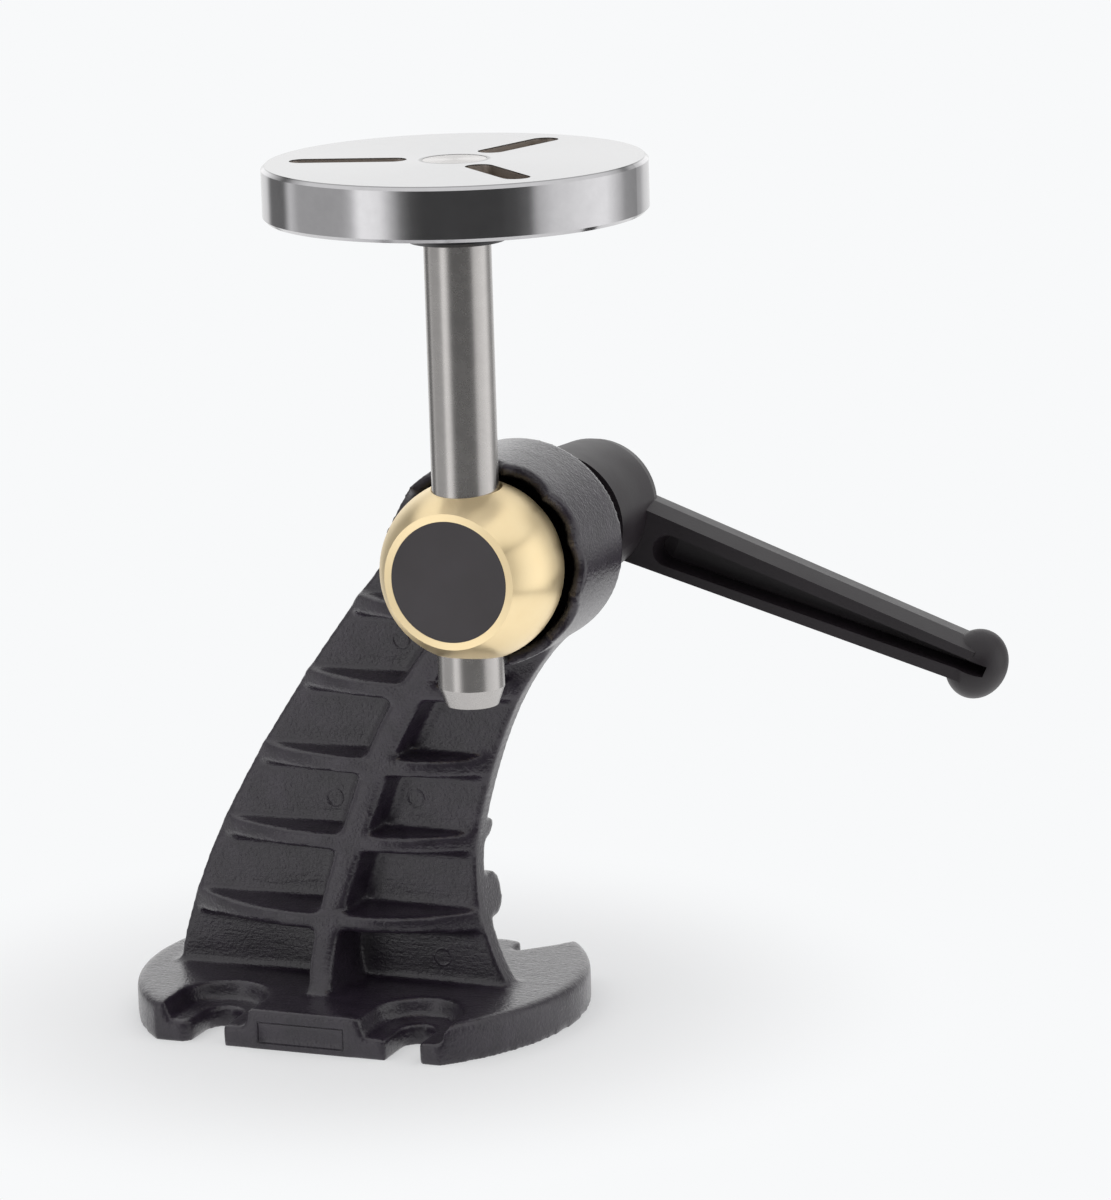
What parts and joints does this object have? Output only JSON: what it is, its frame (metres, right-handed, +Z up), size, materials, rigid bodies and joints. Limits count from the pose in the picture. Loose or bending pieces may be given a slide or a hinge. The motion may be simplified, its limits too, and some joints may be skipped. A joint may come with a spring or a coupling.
{
  "type": "ball vise",
  "caption": "Bench vise for carving: a slotted round faceplate on a post, held by a brass ball that a rear lever draws into a notched socket on a ribbed cast arm.",
  "frame": {"origin": "centre of the round base, on its underside", "axes": "+Z up through the base, +X towards the side the socket overhangs, +Y to the back, where the lever is"},
  "size_m": [0.2037, 0.1461, 0.2164],
  "materials": {
    "painted_iron": "satin black paint over cast iron",
    "brass": "fine turned brass",
    "steel": "turned and ground steel",
    "dark_steel": "black oxide",
    "face_disc": "plain matt black disc",
    "lever_plastic": "moulded black, light grain"
  },
  "bodies": {
    "stand": {"stand_casting": "painted_iron", "thrust_washer": "steel"},
    "draw_bolt": {"draw_bolt": "steel"},
    "ball": {"ball": "brass", "ball_face_disc": "face_disc"},
    "post": {"post": "steel", "faceplate_collar": "dark_steel"},
    "faceplate": {"faceplate": "steel"},
    "lever_hub": {"lever_insert": "steel", "lever_screw": "dark_steel"},
    "lever": {"lever_handle": "lever_plastic", "lever_spring": "steel"}
  },
  "joints": [
    {"name": "lever_turn", "type": "hinge", "parent": "stand", "child": "lever_hub", "pos_m": [0.0434, 0, 0.1184], "axis": [0, -1, 0], "range_deg": [0, 542]},
    {"name": "lever_lift", "type": "slide", "parent": "lever_hub", "child": "lever", "axis": [0, 1, 0], "range_m": [0, 0.005], "stiffness_N_per_m": 1200, "springref_m": -0.002, "deforming": ["lever_spring"]},
    {"name": "ball_draw", "type": "slide", "parent": "stand", "child": "draw_bolt", "axis": [0, 1, 0], "range_m": [0, 0.003]},
    {"name": "ball_swivel", "type": "hinge", "parent": "draw_bolt", "child": "ball", "pos_m": [0.0434, 0, 0.1184], "axis": [0, 1, 0], "range_deg": [-90, 120]},
    {"name": "post_slide", "type": "slide", "parent": "ball", "child": "post", "axis": [0, 0, 1], "range_m": [-0.026, 0.02]},
    {"name": "faceplate_turn", "type": "hinge", "parent": "post", "child": "faceplate", "pos_m": [0.0434, -0.02834, 0.21], "axis": [0, 0, 1], "continuous": true}
  ],
  "couplings": [
    {"joint": "lever_turn", "follows": "ball_draw", "rad_per_m": 3141.6}
  ]
}
